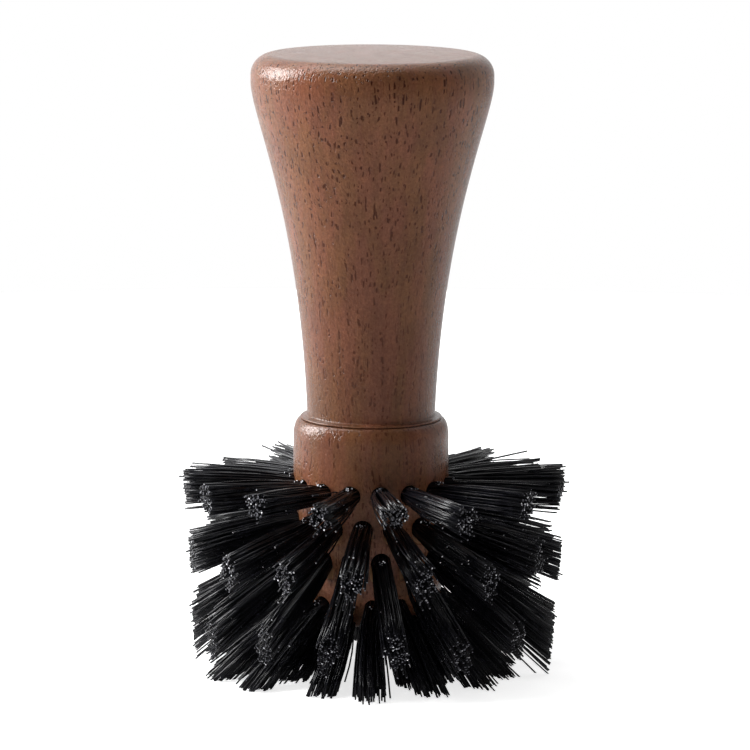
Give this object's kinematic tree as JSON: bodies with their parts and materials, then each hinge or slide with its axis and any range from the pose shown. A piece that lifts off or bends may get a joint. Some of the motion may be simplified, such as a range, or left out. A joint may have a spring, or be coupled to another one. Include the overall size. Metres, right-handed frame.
{
  "type": "coffee machine brush",
  "caption": "Round tufted brush with a flared turned wooden handle, for cleaning an espresso machine's group head and filter basket.",
  "frame": {"origin": "on the brush's axis, at the level of the trimmed bristle ends that it stands on", "axes": "+Z along the handle, from the bristles to the handle's flat top; -Y is the pictured front"},
  "size_m": [0.0616, 0.0616, 0.099],
  "materials": {
    "stained_wood": "reddish brown stained hardwood, turned and sanded smooth, thin satin oil finish",
    "dowel_wood": "plain unstained hardwood dowel",
    "bristle": "black nylon filaments with a soft sheen, cut ends slightly grey"
  },
  "bodies": {
    "root": {"handle": "stained_wood", "brush_head": "stained_wood", "joining_dowel": "dowel_wood", "lower_tufts": "bristle", "upper_tuft_01": "bristle", "upper_tuft_02": "bristle", "upper_tuft_03": "bristle", "upper_tuft_04": "bristle", "upper_tuft_05": "bristle", "upper_tuft_06": "bristle", "upper_tuft_07": "bristle", "upper_tuft_08": "bristle", "upper_tuft_09": "bristle", "upper_tuft_10": "bristle", "upper_tuft_11": "bristle", "upper_tuft_12": "bristle", "upper_tuft_13": "bristle", "upper_tuft_14": "bristle", "upper_tuft_15": "bristle", "upper_tuft_16": "bristle", "middle_tuft_01": "bristle", "middle_tuft_02": "bristle", "middle_tuft_03": "bristle", "middle_tuft_04": "bristle", "middle_tuft_05": "bristle", "middle_tuft_06": "bristle", "middle_tuft_07": "bristle", "middle_tuft_08": "bristle", "middle_tuft_09": "bristle", "middle_tuft_10": "bristle", "middle_tuft_11": "bristle", "middle_tuft_12": "bristle", "middle_tuft_13": "bristle", "middle_tuft_14": "bristle", "middle_tuft_15": "bristle", "middle_tuft_16": "bristle", "third_tuft_01": "bristle", "third_tuft_02": "bristle", "third_tuft_03": "bristle", "third_tuft_04": "bristle", "third_tuft_05": "bristle", "third_tuft_06": "bristle", "third_tuft_07": "bristle", "third_tuft_08": "bristle", "third_tuft_09": "bristle", "third_tuft_10": "bristle", "third_tuft_11": "bristle", "third_tuft_12": "bristle", "third_tuft_13": "bristle", "third_tuft_14": "bristle", "third_tuft_15": "bristle", "third_tuft_16": "bristle"}
  },
  "joints": []
}
